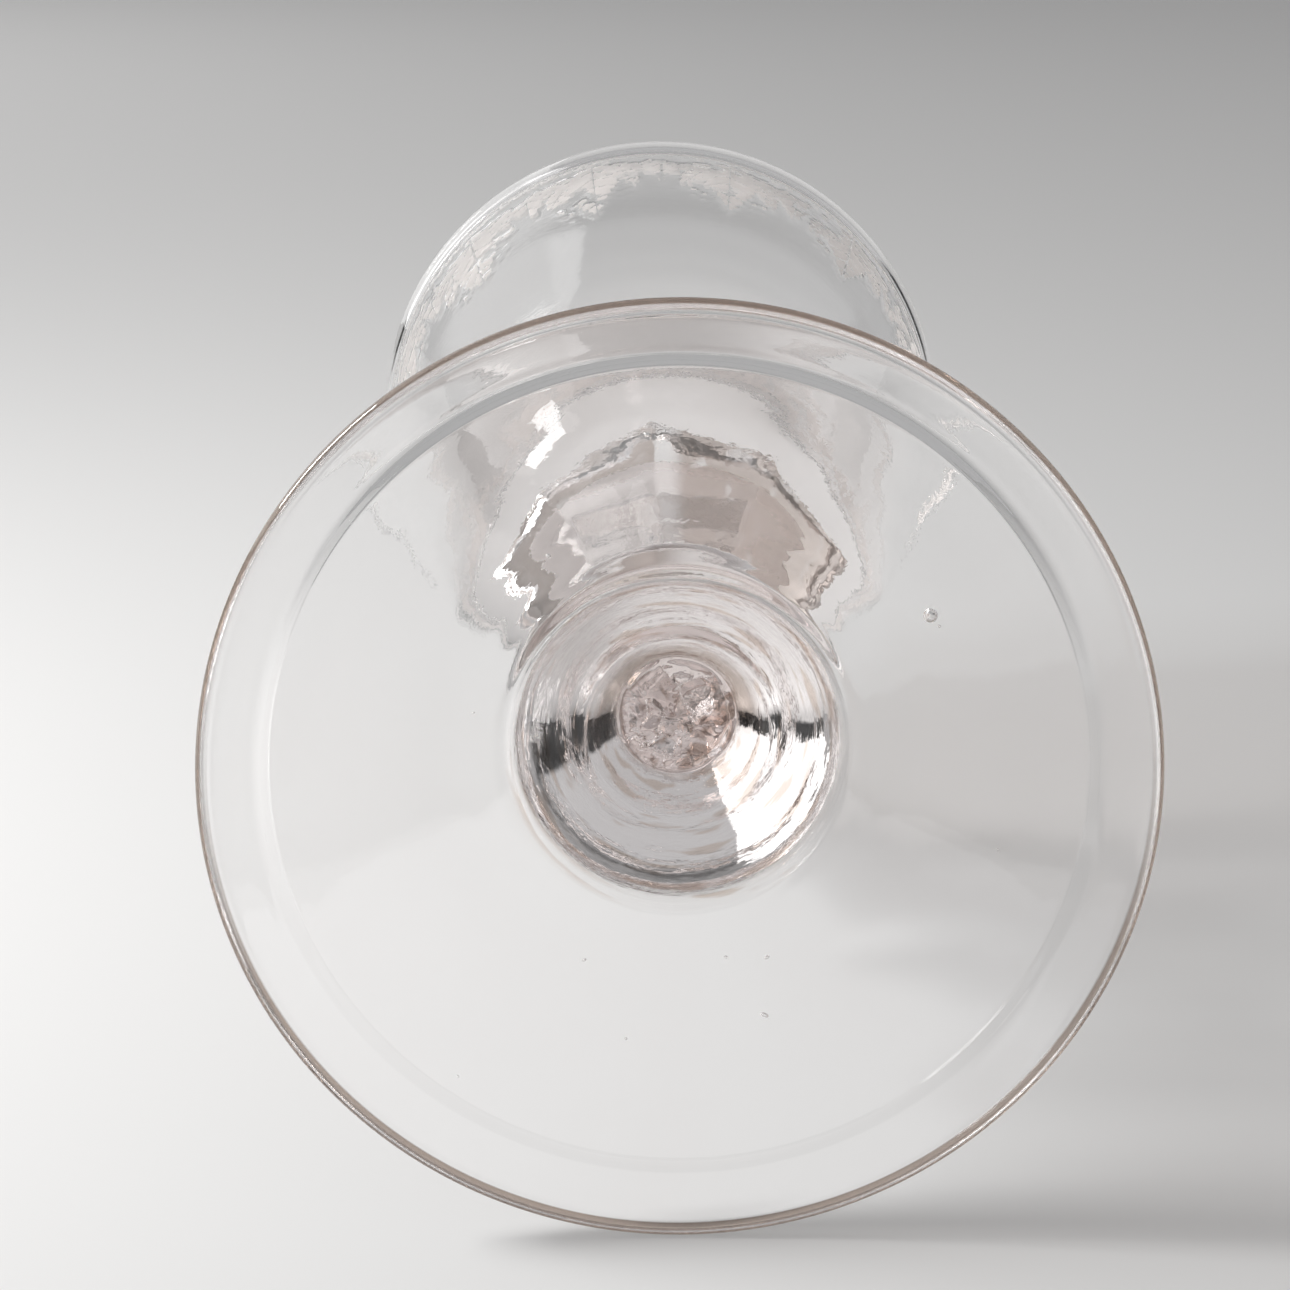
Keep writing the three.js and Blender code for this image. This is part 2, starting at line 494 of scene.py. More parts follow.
def mottled(source, scale, low=0.42, high=0.60):
    """A mask broken up into patches."""

    def build(N, L):
        tc = N("ShaderNodeTexCoord")
        n = N("ShaderNodeTexNoise")
        n.inputs["Scale"].default_value = scale
        n.inputs["Detail"].default_value = 3.0
        n.inputs["Distortion"].default_value = 0.9
        L(tc.outputs["Object"], n.inputs["Vector"])
        mr = N("ShaderNodeMapRange")
        mr.interpolation_type = "SMOOTHSTEP"
        mr.inputs[1].default_value = low
        mr.inputs[2].default_value = high
        L(n.outputs[0], mr.inputs[0])
        m = N("ShaderNodeMath")
        m.operation = "MULTIPLY"
        L(mr.outputs[0], m.inputs[0])
        L(source(N, L), m.inputs[1])
        return m.outputs[0]

    return build


def side_mask(axis, full, none):
    """1 where the object coordinate on that axis is at full mm, 0 at none mm."""

    def build(N, L):
        tc = N("ShaderNodeTexCoord")
        sep = N("ShaderNodeSeparateXYZ")
        L(tc.outputs["Object"], sep.inputs[0])
        mr = N("ShaderNodeMapRange")
        mr.interpolation_type = "SMOOTHSTEP"
        a, b = (none, full) if none < full else (full, none)
        mr.inputs[1].default_value = a * MM
        mr.inputs[2].default_value = b * MM
        mr.inputs[3].default_value = 0.0 if none < full else 1.0
        mr.inputs[4].default_value = 1.0 if none < full else 0.0
        L(sep.outputs[axis], mr.inputs[0])
        return mr.outputs[0]

    return build


def product(*sources):
    def build(N, L):
        value = sources[0](N, L)
        for other in sources[1:]:
            m = N("ShaderNodeMath")
            m.operation = "MULTIPLY"
            L(value, m.inputs[0])
            L(other(N, L), m.inputs[1])
            value = m.outputs[0]
        return value

    return build


def seam_material():
    m = bpy.data.materials.new("fused_seam")
    m.use_nodes = True
    nt = m.node_tree
    nt.nodes.clear()
    out = nt.nodes.new("ShaderNodeOutputMaterial")
    tr = nt.nodes.new("ShaderNodeBsdfTransparent")
    tr.inputs[0].default_value = (0.99, 0.98, 0.978, 1)
    nt.links.new(tr.outputs[0], out.inputs["Surface"])
    return m


clear = glass(
    # painted shade: the outermost rim of the foot, beyond 49.4 mm, gets the painted dark outline
    "clear_glass", shadow=0.86, thick_from=height_mask(26, 15), painted_edge_shade_from=radius_mask(49.38, 49.56), striae_to=18.8,
    # painted shade: darker brown mottling on the upper side (positive y) of the foot between heights 21.6 and 24.6 mm
    painted_shade_from=mottled(product(height_mask(24.6, 21.6), side_mask(1, 1.5, -3.0)), 260.0, 0.16, 0.38), shade_and_stain=(0.36, 0.285, 0.24),
)
bowl_mat = glass("bowl_glass", shadow=0.92, thick_shadow=0.78, thick=(0.965, 0.94, 0.935), thick_from=height_mask(126, 142), engraved=True)
stem = glass("stem_glass", shadow=0.78)
facets = glass(
    "pedestal_glass", shadow=0.78, thick=(0.992, 0.985, 0.982), thick_from=None, cords=0.12,
    # painted shade: darker brown mottling on the flank at negative x, standing in for the dark room seen through the
    # long glass path there
    painted_shade_from=mottled(side_mask(0, -2.0, 0.5), 190.0, 0.22, 0.44), shade_and_stain=(0.40, 0.32, 0.28),
)
broken = glass("broken_glass", thick=(0.95, 0.92, 0.91), fractured=True, cords=0.12)
seam = seam_material()

# ------------------------------------------------------------ foot

NECK_Z, KNOP_TOP, PEDESTAL_BASE, SCAR_SEAT = 40.0, 64.5, 67.5, 27.6
FOOT = [
    (0, SCAR_SEAT - SEAM_GAP, 1.1),
    (6.6, SCAR_SEAT - SEAM_GAP, 0.17),
    (7.2, 25.9),
    (8.5, 23.9),
    (10.0, 21.75),
    (12.0, 21.2),
    (14.0, 20.5),
    (16.0, 18.2),
    (17.6, 15.95),
    (18.55, 13.9),
    (20.2, 12.95, 0.62, "on"),
    (23.5, 11.6),
    (28.5, 9.6),
    (33.5, 7.6),
    (38.5, 5.6),
    (41.4, 4.5, 0.2, "on"),
    (42.4, 4.11, 0.06, "on"),
    (42.60, 4.03),
    (42.67, 3.93),
    (42.76, 3.78),
    (42.97, 3.57, 0.11, "on"),
    (43.4, 3.14),
    (43.8, 2.7),
    (44.15, 2.42),
    (45.2, 1.95, 0.3, "on"),
    (46.8, 1.22),
    (48.1, 0.62, 0.09, "on"),
    (48.42, 0.5),
    (48.62, 0.3),
    (48.88, 0.09),
    (49.22, 0.0),
    (49.62, 0.16),
    (49.9, 0.52),
    (50.0, 1.0),
    (49.88, 1.55),
    (49.5, 2.12),
    (48.9, 2.62),
    (48.0, 3.2, 0.6, "on"),
    (46.8, 3.9, 1.0, "on"),
    (45.0, 4.8),
    (41.0, 6.75),
    (35.0, 9.45),
    (29.0, 12.1),
    (24.0, 14.3, 0.5, "on"),
    (21.2, 15.3),
    (19.6, 16.0),
    (18.4, 17.2),
    (17.6, 19.0),
    (17.1, 22.0, 0.6, "on"),
    (16.4, 25.0),
    (15.5, 28.0),
    (14.5, 31.0),
    (13.6, 34.0),
    (12.85, 37.0),
    (11.9, 38.9),
    (10.9, NECK_Z - SEAM_GAP, 1.1),
    (0, NECK_Z - SEAM_GAP),
]
CREASE = (0.73, -6.43, 31.2, 48.0, 134.5)  # a fold line in the gather: centre, radius, first and last angle


RIDGES = [
    # tool marks in the dome: radius, width, height, first and last angle, seed
    (8.3, 0.34, 0.060, 185, 345, 101),
    (9.5, 0.40, -0.050, 200, 350, 103),
    (10.8, 0.30, 0.045, 175, 335, 105),
    (12.4, 0.45, -0.035, 205, 360, 107),
    (14.4, 0.30, 0.030, 150, 300, 109),
    (8.8, 0.30, 0.040, 20, 150, 111),
    (11.6, 0.40, -0.040, 35, 170, 113),
    (13.6, 0.30, 0.030, 10, 120, 115),
    (15.6, 0.35, 0.030, 60, 200, 117),
]


def foot_surface(S, R, Z, TH):
    under = S < 56
    dome = smooth(19.6, 17.8, R)
    cone = smooth(18.5, 21.5, R) * smooth(42.2, 40.0, R)
    d_under = cone * (0.026 * rings(R, TH, 4.4, 11, 0.6) + 0.008 * rings(R, TH, 1.9, 12, 0.5)) + dome * (
        0.028 * rings(R + 0.6 * Z, TH, 1.9, 13, 0.7)
        + 0.026 * rings(R + 0.6 * Z, TH, 0.95, 14, 0.5)
        + 0.030 * streaks(R + 0.6 * Z, TH, 0.6, 15)
        + 0.024 * streaks(R + 0.6 * Z + 7, TH, 0.5, 17)
    )
    wall = smooth(20.5, 18.5, R)
    d_top = cone * (0.020 * rings(R, TH, 3.9, 21, 0.6) + 0.007 * rings(R, TH, 1.7, 22, 0.5)) + wall * (
        0.024 * rings(Z, TH, 2.6, 23, 0.6) + 0.010 * rings(Z, TH, 1.0, 24, 0.4) + 0.008 * streaks(Z, TH, 0.8, 25)
    )
    for r0, w, amp, t0, t1, seed in RIDGES:
        rr = np.hypot(R * np.cos(TH) - 0.5, R * np.sin(TH) + 0.2)
        deg = np.degrees(TH)
        wob = 0.16 * noise1(deg / 21.0 + 40, seed) + 0.05 * noise1(deg / 6.0 + 40, seed + 1)
        window = smooth(t0, t0 + 22, deg) * smooth(t1, t1 - 22, deg)
        d_under = d_under + dome * window * amp * np.exp(-(((rr - r0 - wob) / w) ** 2))
    lock = smooth(6.6, 7.4, R)
    top_lock = smooth(NECK_Z - 0.05, NECK_Z - 1.5, Z)
    d = np.where(under, d_under * lock, d_top * top_lock)
    band = smooth(44.0, 45.0, R) * smooth(48.4, 47.2, R)
    d += band * (0.004 * rings(R, TH, 1.5, 31, 0.5) + 0.0012 * streaks(R, TH, 0.45, 33))
    # a low wandering crease
    cx, cy, cr, a0, a1 = CREASE
    x, y = R * np.cos(TH), R * np.sin(TH)
    ang = np.degrees(np.arctan2(y - cy, -(x - cx)))
    off = np.hypot(x - cx, y - cy) - cr - 0.25 * noise1((ang + 200) / 9.0, 51)
    span = smooth(a0 - 3, a0 + 6, ang) * smooth(a1 + 3, a1 - 6, ang)
    d += np.where(under, 1.0, 0.0) * cone * span * 0.022 * np.exp(-((off / 0.28) ** 2))
    return d


SEEDS = [
    # x, y, z, radius, length, turn
    (-26.4, 15.4, 10.15, 0.80, 1.0, 0.0),
    (-27.3, 14.3, 10.0, 0.16, 1.3, 0.5),
    (3.45, 35.0, 8.2, 0.30, 1.4, 0.1),
    (13.8, 21.4, 12.2, 0.22, 1.5, 0.6),
    (-9.6, -22.8, 12.0, 0.20, 1.6, 2.6),
    (-5.2, -23.0, 12.6, 0.16, 1.4, 0.2),
    (10.1, -23.2, 12.3, 0.16, 1.5, 2.8),
    (-9.3, -28.6, 9.9, 0.24, 2.0, 0.4),
    (23.6, -34.5, 7.2, 0.14, 1.5, 0.9),
    (21.8, 4.1, 13.0, 0.12, 1.2, 0.2),
    (-33.8, -9.6, 8.1, 0.13, 1.3, 1.2),
    (5.6, -31.3, 10.0, 0.14, 1.3, 1.2),
]
seeds = []
for x, y, z, r, long, turn in SEEDS:
    v, f = bubble(x, y, z, r, long, turn, 0.75 if r > 0.5 else 0.9, *((24, 16) if r > 0.5 else (12, 8)))
    seeds.append((v, f, 0))
foot = lathe("foot_glass", FOOT, 256, [clear, seam], {0: 1, 2: 1}, foot_surface, extra=seeds)

# ------------------------------------------------------------ collars, knop, pedestal


def merese_keys(z0, z1, r0, rmax, r1):
    h = z1 - z0
    a, b = z0 + SEAM_GAP, z1 - SEAM_GAP
    return [
        (0, a, 1.0),
        (r0, a, 0.15),
        (r0 + (rmax - r0) * 0.80, z0 + h * 0.14),
        (rmax, z0 + h * 0.38),
        (rmax, z0 + h * 0.60),
        (r1 + (rmax - r1) * 0.70, z0 + h * 0.86),
        (r1, b, 1.0),
        (0, b),
    ]


def knop_surface(S, R, Z, TH):
    lock = smooth(NECK_Z + 0.3, NECK_Z + 3, Z) * smooth(KNOP_TOP - 0.2, KNOP_TOP - 2.5, Z)
    return lock * (0.03 * rings(Z, TH, 4.2, 41, 1.2) + 0.010 * rings(Z, TH, 1.6, 42, 0.8) + 0.003 * streaks(Z, TH, 0.7, 43))


knop = lathe(
    "basal_knop_glass",
    [
        (0, NECK_Z + SEAM_GAP, 1.1),
        (10.9, NECK_Z + SEAM_GAP, 0.35),
        (13.4, 41),
        (15.3, 42.8),
        (16.25, 45),
        (16.5, 47.5),
        (16.25, 50.1),
        (15.55, 53),
        (14.4, 56),
        (13.0, 58.8),
        (11.8, 61),
        (11.4, 62.8),
        (11.6, KNOP_TOP - SEAM_GAP, 1.1),
        (0, KNOP_TOP - SEAM_GAP),
    ],
    256,
    [stem, seam],
    {0: 1, 2: 1},
    knop_surface,
)
stem_merese = lathe("stem_merese_glass", merese_keys(KNOP_TOP, PEDESTAL_BASE, 11.6, 13.4, 8.8), 192, [stem, seam], {0: 1, 2: 1})


def octagon(R, Z, TH):
    a = math.pi / 4
    t = np.mod(TH - math.pi / 2 + math.radians(6.5) + a / 2, a) - a / 2
    # corner at t = 0, flank's middle at a/2
    u = a / 2 - np.abs(t)
    flat = np.cos(a / 2) / np.cos(u)
    blend = smooth(PEDESTAL_BASE + 0.3, 72.5, Z) * smooth(97.6, 92.5, Z)
    soft = 0.93
    f = flat * soft + (1 - soft) * (1 + np.cos(a / 2)) / 2
    return 1 + (f - 1) * blend


def pedestal_surface(S, R, Z, TH):
    lock = smooth(PEDESTAL_BASE + 0.2, 70.5, Z) * smooth(97.9, 96.0, Z)
    u, w = (TH + math.pi) * 18.0, Z
    blow = noise2(u / 5.5 + 30, w / 5.0 + 7, 63) * 0.06 + noise2(u / 2.4 + 11, w / 2.2, 64) * 0.022
    wrap = smooth(0, 0.25, TH) * smooth(2 * math.pi, 2 * math.pi - 0.25, TH)
    return lock * (0.015 * rings(Z, TH, 5.0, 61, 0.8) + 0.004 * rings(Z, TH, 1.3, 62, 0.4) + blow * wrap)


pedestal = lathe(
    "pedestal_stem_glass",
    [
        (0, PEDESTAL_BASE + SEAM_GAP, 1.1),
        (8.8, PEDESTAL_BASE + SEAM_GAP, 0.35),
        (9.4, 70.5),
        (11.2, 74.0),
        (14.2, 79.0),
        (17.2, 83.8),
        (19.4, 86.9),
        (20.4, 89.0),
        (20.1, 90.8),
        (18.6, 93.0),
        (15.8, 95.2),
        (12.6, 96.9),
        (10.2, 98 - SEAM_GAP, 1.1),
        (0, 98 - SEAM_GAP),
    ],
    320,
    [facets, seam],
    {0: 1, 2: 1},
    pedestal_surface,
    section=octagon,
)
bowl_merese = lathe("bowl_merese_glass", merese_keys(98, 102, 10.2, 13.8, 10.5), 192, [stem, seam], {0: 1, 2: 1})

# ------------------------------------------------------------ bowl

FLARE = (43.5 - 28.9) / (219 - 134)
side = lambda z: 28.9 + FLARE * (z - 134)
BOWL = [
    (0, 102 + SEAM_GAP, 1.75),
    (10.5, 102 + SEAM_GAP, 1.7),
    (13.8, 102.8),
    (17.5, 104.7),
    (20.8, 107.6),
    (23.5, 111.6),
    (25.6, 116.8),
    (27.1, 123.2),
    (28.15, 129.4, 4.0, "on"),
    (side(137), 137),
    (side(150), 150),
    (side(165), 165),
    (side(180), 180),
    (side(183), 183, 0.6, "on"),
    (side(201), 201),
    (41.50, 208.6),
    (41.93, 212.0),
    (42.25, 213.9),
    (42.68, 215.5),
    (43.12, 216.7),
    (43.40, 217.5),
    (43.5, 218.2),
    (43.3, 218.75),
    (42.9, 219.0),
    (42.4, 218.85),
    (42.0, 218.35),
    (41.6, 217.2, 2.0, "on"),
    (40.9, 214.0),
    (side(205) - 1.75, 205),
    (side(190) - 1.9, 190),
    (side(175) - 2.1, 175),
    (side(160) - 2.5, 160),
    (side(150) - 3.1, 150),
    (side(142) - 4.4, 142, 2.0, "on"),
    (23.4, 137.0),
    (20.4, 133.2),
    (15.8, 130.2),
    (9.5, 128.5),
    (0, 128.0),
]


def leaf(x, y, tip, width, teeth, depth):
    """A serrated leaf from the origin along +y to tip, with a clear midrib and veins. Signed depth inside, mm."""
    s = np.clip(y / tip, 0, 1)
    w = width * np.sin(math.pi * s**0.72) ** 0.8 * (1 - 0.35 * s)
    saw = np.mod(s * teeth, 1.0)
    w = w * (1 - depth * (1 - saw) * smooth(0.0, 0.2, s))
    inside = np.where((y > 0) & (y < tip), w - np.abs(x), -1.0)
    m = smooth(-0.12, 0.22, inside)
    rib = smooth(0.05, 0.30, np.abs(x))
    vein = np.abs(np.mod((y - 0.85 * np.abs(x)) / tip * teeth * 0.5, 1.0) - 0.5) * 2 * tip / teeth
    m = m * rib * smooth(0.14, 0.42, vein)
    return m


def turned_to(x, y, cx, cy, a):
    c, s = math.cos(a), math.sin(a)
    dx, dy = x - cx, y - cy
    return c * dx + s * dy, -s * dx + c * dy


def scroll(x, y, cx, cy, r0, r1, a0, a1, w, sign=1):
    """A stroke along a spiral about (cx, cy) from radius r0 at a0 to r1 at a1, degrees."""
    best = np.full(x.shape, 9.0)
    for k in range(64):
        t = k / 63
        a = math.radians(a0 + (a1 - a0) * t)
        r = r0 + (r1 - r0) * t
        d = np.hypot(x - cx - sign * r * math.cos(a), y - cy - r * math.sin(a))
        best = np.minimum(best, d - w * (0.6 + 0.6 * math.sin(math.pi * t)))
    return smooth(0.18, -0.12, best)


def engraving(u, v, pitch):
    """Leaf and scroll border. u runs round the bowl and v down from the rim, mm."""
    ends = smooth(0, 6, u) * smooth(12 * pitch, 12 * pitch - 6, u)
    v0 = v
    v = v * (1 + ends * (0.15 * noise1(u / 8.3 + 60, 77) + 0.05 * noise1(u / 2.9 + 60, 78)) - 0.06)
    x = np.mod(u, pitch) - pitch / 2
    m = np.zeros(x.shape)
    add = lambda a: np.maximum(m, a)
    m = add(leaf(x, v - 8.6, 25.0, 5.6, 11, 0.26))
    for sgn in (-1, 1):
        xs = x * sgn
        lx, ly = turned_to(xs, v, 2.2, 11.0, -0.95)
        m = add(leaf(lx, ly, 9.0, 3.0, 6, 0.25))
        lx, ly = turned_to(xs, v, pitch / 2, 11.5, 0.0)
        m = add(leaf(lx, ly, 11.5, 3.4, 6, 0.25))
        lx, ly = turned_to(xs, v, pitch / 2, 11.5, 1.05)
        m = add(leaf(lx, ly, 6.0, 1.6, 5, 0.25))
        lx, ly = turned_to(xs, v, pitch / 4 - 0.6, 15.6, -0.30)
        m = add(leaf(lx, ly, 9.4, 2.5, 6, 0.25))
        m = add(scroll(xs, v, pitch / 4, 9.6, 3.6, 3.6, 10, 170, 0.50))
        m = add(smooth(0.75, 0.5, np.hypot(xs - pitch / 4 - 0.2, v - 26.6)))
        m = add(smooth(0.55, 0.32, np.hypot(xs - pitch / 4 + 1.3, v - 27.4)))
    b = np.mod(u / pitch * 9, 1.0) - 0.5
    arc = np.hypot(b * pitch / 9, v - 6.0)
    m = add(smooth(1.28, 1.06, arc) * smooth(0.45, 0.62, arc) * smooth(5.85, 6.1, v))
    gaps = noise2(u / 3.4 + 40, v0 / 3.0 + 3, 79) + 0.5 * noise2(u / 1.5 + 40, v0 / 1.4 + 3, 80)
    m = m * (1 - 0.8 * ends * smooth(-0.34, -0.56, gaps) * smooth(7.0, 9.5, v0))
    return np.maximum(m, smooth(0.24, 0.12, np.abs(v0 - 5.75)))


def bowl_surface(S, R, Z, TH):
    outer = (S < 160) & (Z > 103)
    v = (219.0 - Z) / math.cos(math.atan(FLARE))
    pitch = 2 * math.pi / 12
    scale = side(201.0)
    m = np.where(outer & (Z > 183.5) & (Z < 214.6), engraving(TH * scale, v, pitch * scale), 0.0)
    wash = 0.02 * rings(Z * 0.8, TH, 7.0, 71, 1.2) + 0.006 * rings(Z, TH, 2.6, 72, 0.6)
    lock = smooth(102.3, 107, Z) * smooth(218.0, 212.0, Z)
    inner = ~outer & (Z > 127)
    wash = np.where(inner, 0.02 * rings(Z, TH, 9.0, 73, 1.4) * smooth(218, 212, Z) * smooth(2, 9, R), wash * lock)
    return wash - 0.13 * m, {"engraved": m}


bowl = lathe("bowl_glass", BOWL, 608, [bowl_mat, seam], {0: 1}, bowl_surface)

# ------------------------------------------------------------ pontil scar

SHARDS = np.random.default_rng(83).uniform(-6.6, 6.6, (12, 2))
TILTS = np.random.default_rng(84).normal(0, 1, (12, 3))


def scar_surface(S, R, Z, TH):
    """Conchoidal fractures: broad shards, each tilted its own way, with ridges and clefts between."""
    x, y = R * np.cos(TH), R * np.sin(TH)
    wx = x + 0.8 * noise2(x * 0.8 + 9, y * 0.8, 85) + 0.2 * noise2(x * 2.6 + 9, y * 2.6, 89)
    wy = y + 0.8 * noise2(x * 0.8, y * 0.8 + 5, 86) + 0.2 * noise2(x * 2.6, y * 2.6 + 4, 90)
    d = np.hypot(wx[..., None] - SHARDS[:, 0], wy[..., None] - SHARDS[:, 1])
    order = np.argsort(d, axis=-1)
    near, second = order[..., 0], order[..., 1]
    d0 = np.take_along_axis(d, order[..., :1], -1)[..., 0]
    d1 = np.take_along_axis(d, order[..., 1:2], -1)[..., 0]
    cx, cy = SHARDS[near, 0], SHARDS[near, 1]
    h = 0.16 * TILTS[near, 2] + 0.40 * (TILTS[near, 0] * (x - cx) + TILTS[near, 1] * (y - cy)) / (1 + 0.25 * d0)
    h += 0.030 * np.sin(2 * math.pi * d0 / 0.95) * smooth(0.3, 1.2, d0)
    h += 0.12 * noise2(x * 0.9, y * 0.9, 87) + 0.012 * noise2(x * 3.5, y * 3.5, 88)
    pick = noise2(near * 3.1 + 0.5, second * 1.7 + 0.5, 91)
    ridge = smooth(0.30, 0.05, d1 - d0) * smooth(-0.5, 0.2, noise2(x * 1.3 + 3, y * 1.3, 92))
    h = np.clip(h, -0.42, 0.95) + ridge * np.where(pick > 0.1, -0.16, 0.10)
    lock = smooth(6.5, 5.4, R) * (S < 6.9)
    # the cleft mask marks the sunk clefts, where the material paints shade near-black
    return h * lock, {"crack": ridge * lock * (pick <= 0.1), "cleft": ridge * lock * (pick > 0.1)}


scar = lathe(
    "pontil_scar_glass",
    [
        (0, 26.95, 0.16),
        (3.0, 26.95),
        (5.6, 27.05),
        (6.3, 27.3),
        (6.58, SCAR_SEAT - SEAM_GAP - 0.006, 1.1),
        (0, SCAR_SEAT - SEAM_GAP - 0.006),
    ],
    200,
    [broken, seam],
    {1: 1},
    scar_surface,
    sharp=60,
)
PIECES = {
    "foot": foot,
    "basal_knop": knop,
    "stem_merese": stem_merese,
    "pedestal_stem": pedestal,
    "bowl_merese": bowl_merese,
    "bowl": bowl,
    "pontil_scar": scar,
}
for node, piece in PIECES.items():
    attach(piece, "root")
    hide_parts(node)

# ------------------------------------------------------------ camera at the photograph's place

F_PX, HALF = 3877.0, 645.0
AX, AY = math.radians(-0.33), math.radians(-13.20)
C = np.array([0.0723, 0.2762, 8.0]) * 50.0  # centre of the foot's widest ring
WIDEST_Z = 1.0
zg = np.array([math.sin(AX), math.sin(AY) * math.cos(AX), math.cos(AY) * math.cos(AX)])
up = np.array([0.0, -1.0, 0.0])
yg = up - up.dot(zg) * zg
yg /= np.linalg.norm(yg)
xg = np.cross(yg, zg)
Rw = np.stack([xg, yg, zg])  # camera coordinates (x right, y down, z ahead) to the part's frame
pos = Rw @ (-C) + np.array([0.0, 0.0, WIDEST_Z])
right, down, ahead = Rw[:, 0], Rw[:, 1], Rw[:, 2]
cam_data = bpy.data.cameras.new("camera")
cam_data.sensor_fit = "HORIZONTAL"
cam_data.sensor_width = 36.0
cam_data.lens = 36.0 * F_PX / (2 * HALF)
cam_data.clip_start = 0.01
cam_data.clip_end = 50
cam = bpy.data.objects.new("camera", cam_data)
M = Matrix.Identity(4)
for i in range(3):
    M[i][0], M[i][1], M[i][2], M[i][3] = right[i], -down[i], -ahead[i], pos[i] * MM
cam.matrix_world = M
bpy.context.scene.collection.objects.link(cam)
bpy.context.scene.camera = cam

# ------------------------------------------------------------ stage: the pale table that the glass lies on


def single_sided(name, color):
    m = bpy.data.materials.new(name)
    m.use_nodes = True
    nt = m.node_tree
    nt.nodes.clear()
    N, L = nt.nodes.new, nt.links.new
    out = N("ShaderNodeOutputMaterial")
    d = N("ShaderNodeBsdfDiffuse")
    d.inputs[0].default_value = (*color, 1)
    tr = N("ShaderNodeBsdfTransparent")
    g = N("ShaderNodeNewGeometry")
    mix = N("ShaderNodeMixShader")
    L(g.outputs["Backfacing"], mix.inputs[0])
    L(d.outputs[0], mix.inputs[1])
    L(tr.outputs[0], mix.inputs[2])
    L(mix.outputs[0], out.inputs["Surface"])
    return m


def sheet(name, rows, xs, mat):
    """rows: (y, z) in mm along the sheet; xs: x values."""
    vs = [(x * MM, y * MM, z * MM) for y, z in rows for x in xs]
    k = len(xs)
    fs = [(i * k + j, (i + 1) * k + j, (i + 1) * k + j + 1, i * k + j + 1) for i in range(len(rows) - 1) for j in range(k - 1)]
    me = bpy.data.meshes.new(name)
    me.from_pydata(vs, [], fs)
    me.materials.append(mat)
    me.shade_smooth()
    ob = bpy.data.objects.new(name, me)
    bpy.context.scene.collection.objects.link(ob)
    return ob


TILT = (50.0 - 43.5) / 219.0
rows = [(-50.05 + TILT * z, z) for z in (-900, -300, 0, 300, 700, 1100, 1500)]
table_sheet = sheet("table", rows, list(range(1600, -1601, -400)), single_sided("pale_table", (0.8, 0.795, 0.79)))
# the sheet's front must look towards +Y
nrm = table_sheet.data.polygons[0].normal
if nrm.y < 0:
    table_sheet.data.flip_normals()

# ------------------------------------------------------------ lights


def toward(theta, az):
    """Unit vector at theta degrees from +Z, az degrees round it from -X towards +Y."""
    t, a = math.radians(theta), math.radians(az)
    return Vector((-math.sin(t) * math.cos(a), math.sin(t) * math.sin(a), math.cos(t)))


def area(name, theta, az, dist, along_theta, along_az, radiance, color=(1, 1, 1), aim=(0.0, 0.0, 0.05)):
    """A soft rectangle that faces aim from the given direction."""
    d = bpy.data.lights.new(name, "AREA")
    d.shape = "RECTANGLE"
    d.size, d.size_y = along_az, along_theta
    d.energy = radiance * math.pi * along_az * along_theta
    d.color = color
    ob = bpy.data.objects.new(name, d)
    back = toward(theta, az)
    up = toward(theta + 90, az)
    side_ = up.cross(back)
    m = Matrix.Identity(4)
    loc = Vector(aim) + back * dist
    for i in range(3):
        m[i][0], m[i][1], m[i][2], m[i][3] = side_[i], up[i], back[i], loc[i]
    ob.matrix_world = m
    ob.visible_camera = False
    bpy.context.scene.collection.objects.link(ob)
    return ob


area("softbox", 63.0, 144.5, 1.18, 1.80, 0.80, 1.34, (1, 0.997, 0.99))
area("key", 88.0, 146.0, 0.58, 0.14, 0.20, 34.5, (1, 0.997, 0.99))

# the studio around: pale behind the camera and to the sides, dark above the far
# end of the table, with a grey card over it
world = bpy.data.worlds.new("studio")
bpy.context.scene.world = world
world.use_nodes = True
wn = world.node_tree
wn.nodes.clear()
WN, WL = wn.nodes.new, wn.links.new


def wm(op, a, b=None):
    n = WN("ShaderNodeMath")
    n.operation = op
    for i, v in enumerate((a, b)):
        if v is None:
            continue
        if isinstance(v, (int, float)):
            n.inputs[i].default_value = v
        else:
            WL(v, n.inputs[i])
    return n.outputs[0]


def step(v, a, b):
    n = WN("ShaderNodeMapRange")
    n.interpolation_type = "SMOOTHSTEP"
    n.inputs[1].default_value = min(a, b)
    n.inputs[2].default_value = max(a, b)
    n.inputs[3].default_value = 0.0 if a < b else 1.0
    n.inputs[4].default_value = 1.0 if a < b else 0.0
    WL(v, n.inputs[0])
    return n.outputs[0]


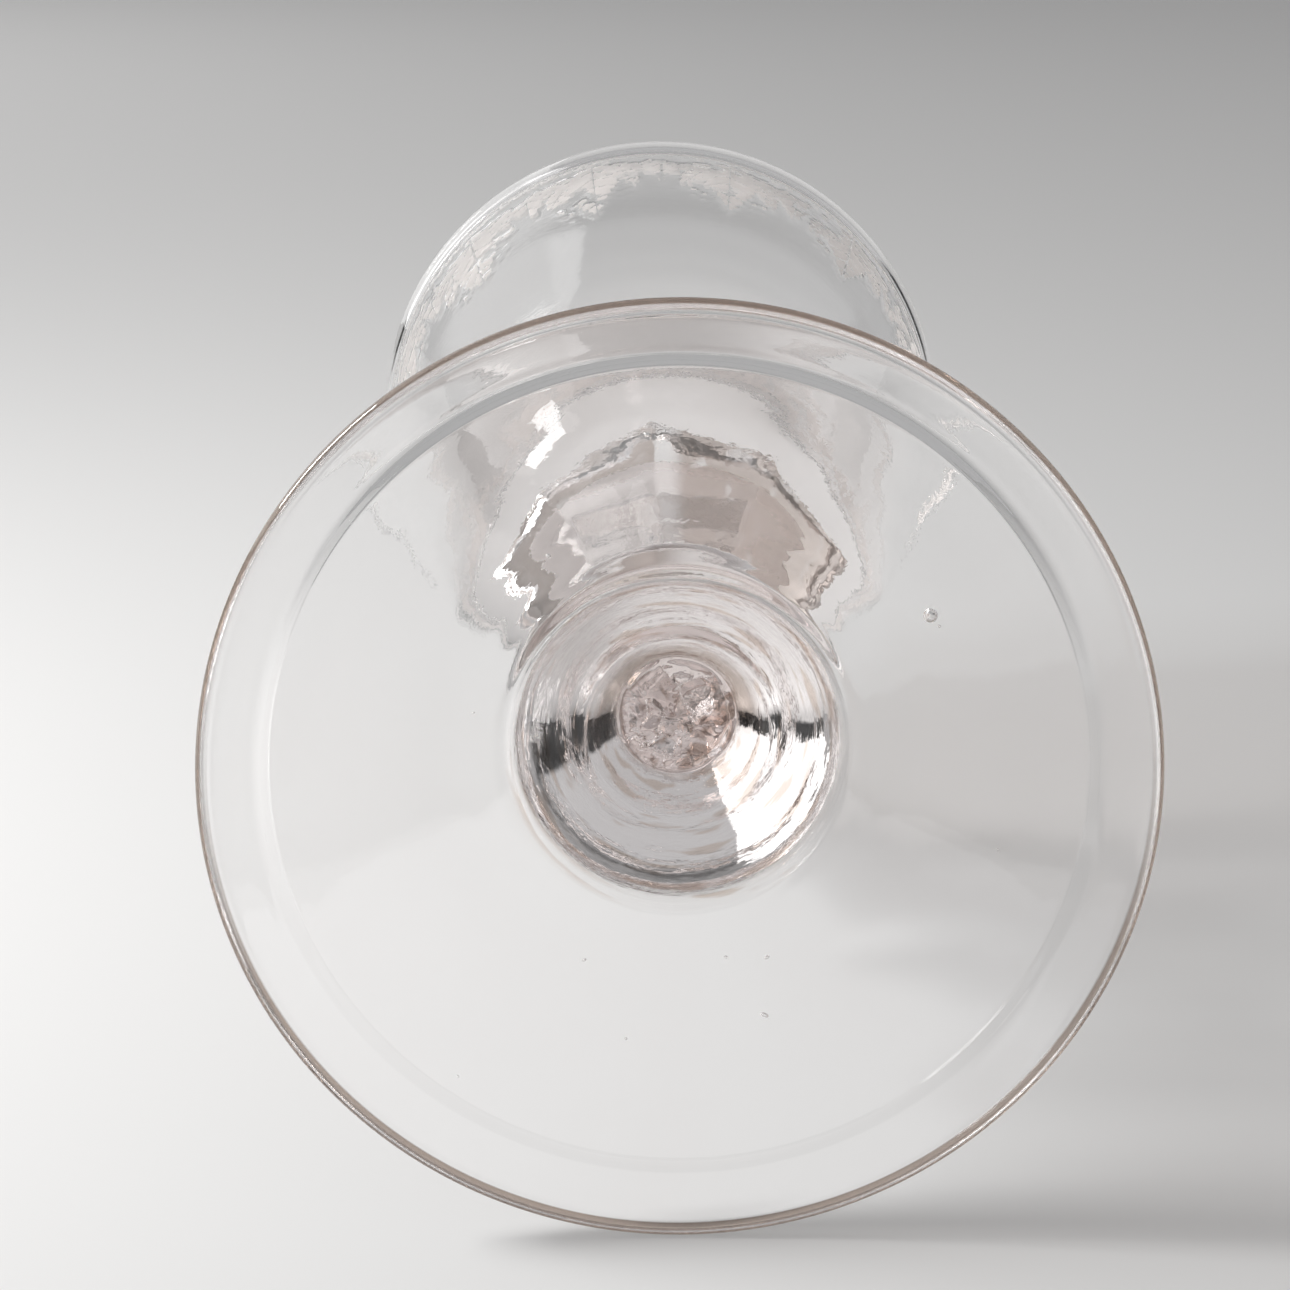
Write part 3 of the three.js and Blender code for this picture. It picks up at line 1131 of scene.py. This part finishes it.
wtc = WN("ShaderNodeTexCoord")
wsep = WN("ShaderNodeSeparateXYZ")
WL(wtc.outputs["Generated"], wsep.inputs[0])
dx, dy, dz = wsep.outputs
theta = wm("DEGREES", wm("ARCCOSINE", wm("MAXIMUM", wm("MINIMUM", dz, 1.0), -1.0)))
az = wm("DEGREES", wm("ARCTAN2", dy, wm("MULTIPLY", dx, -1.0)))
rise = wm("DEGREES", wm("ARCSINE", wm("MAXIMUM", wm("MINIMUM", dy, 1.0), -1.0)))
PALE, GREY, DARK, FAR = 0.46, 0.50, 0.02, 0.38
around = step(theta, 68, 76)


def room(pale, grey, dark, far_level, card_theta, far_theta, far_rise, behind):
    card = wm("MULTIPLY", wm("MULTIPLY", step(az, 20, 24), step(az, 128, 124)), wm("MULTIPLY", step(theta, *card_theta), step(theta, 80, 76)))
    far = wm("MULTIPLY", step(theta, *far_theta), step(rise, *far_rise))
    v = wm("ADD", dark, wm("MULTIPLY", far, far_level - dark))
    v = wm("MAXIMUM", v, wm("MULTIPLY", card, grey))
    v = wm("MAXIMUM", v, wm("MULTIPLY", around, wm("SUBTRACT", pale, wm("MULTIPLY", step(rise, 25, 50), 0.29))))
    v = wm("MAXIMUM", v, wm("MULTIPLY", step(rise, 1, -3), far_level))
    return wm("MAXIMUM", v, wm("MULTIPLY", step(theta, 105, 122), behind))


seen = room(PALE, GREY, DARK, FAR, (29.0, 31.5), (31, 27), (60, 5), 1.05)
fill = room(0.44, 0.34, DARK, 0.30, (38.0, 42.0), (29, 24), (30, 0), 0.30)
wlp = WN("ShaderNodeLightPath")
val = wm("ADD", wm("MULTIPLY", seen, wm("SUBTRACT", 1.0, wlp.outputs["Is Diffuse Ray"])), wm("MULTIPLY", fill, wlp.outputs["Is Diffuse Ray"]))
wcol = WN("ShaderNodeCombineColor")
for i, k in enumerate((1.0, 1.0, 1.01)):
    WL(wm("MULTIPLY", val, k), wcol.inputs[i])
wout = WN("ShaderNodeOutputWorld")
bg = WN("ShaderNodeBackground")
WL(wcol.outputs[0], bg.inputs[0])
bg.inputs[1].default_value = 1.0
WL(bg.outputs[0], wout.inputs["Surface"])

sc = bpy.context.scene
sc.view_settings.view_transform = "Standard"
sc.cycles.max_bounces = 96
sc.cycles.transmission_bounces = 96
sc.cycles.glossy_bounces = 64
sc.cycles.transparent_max_bounces = 160
sc.cycles.diffuse_bounces = 3
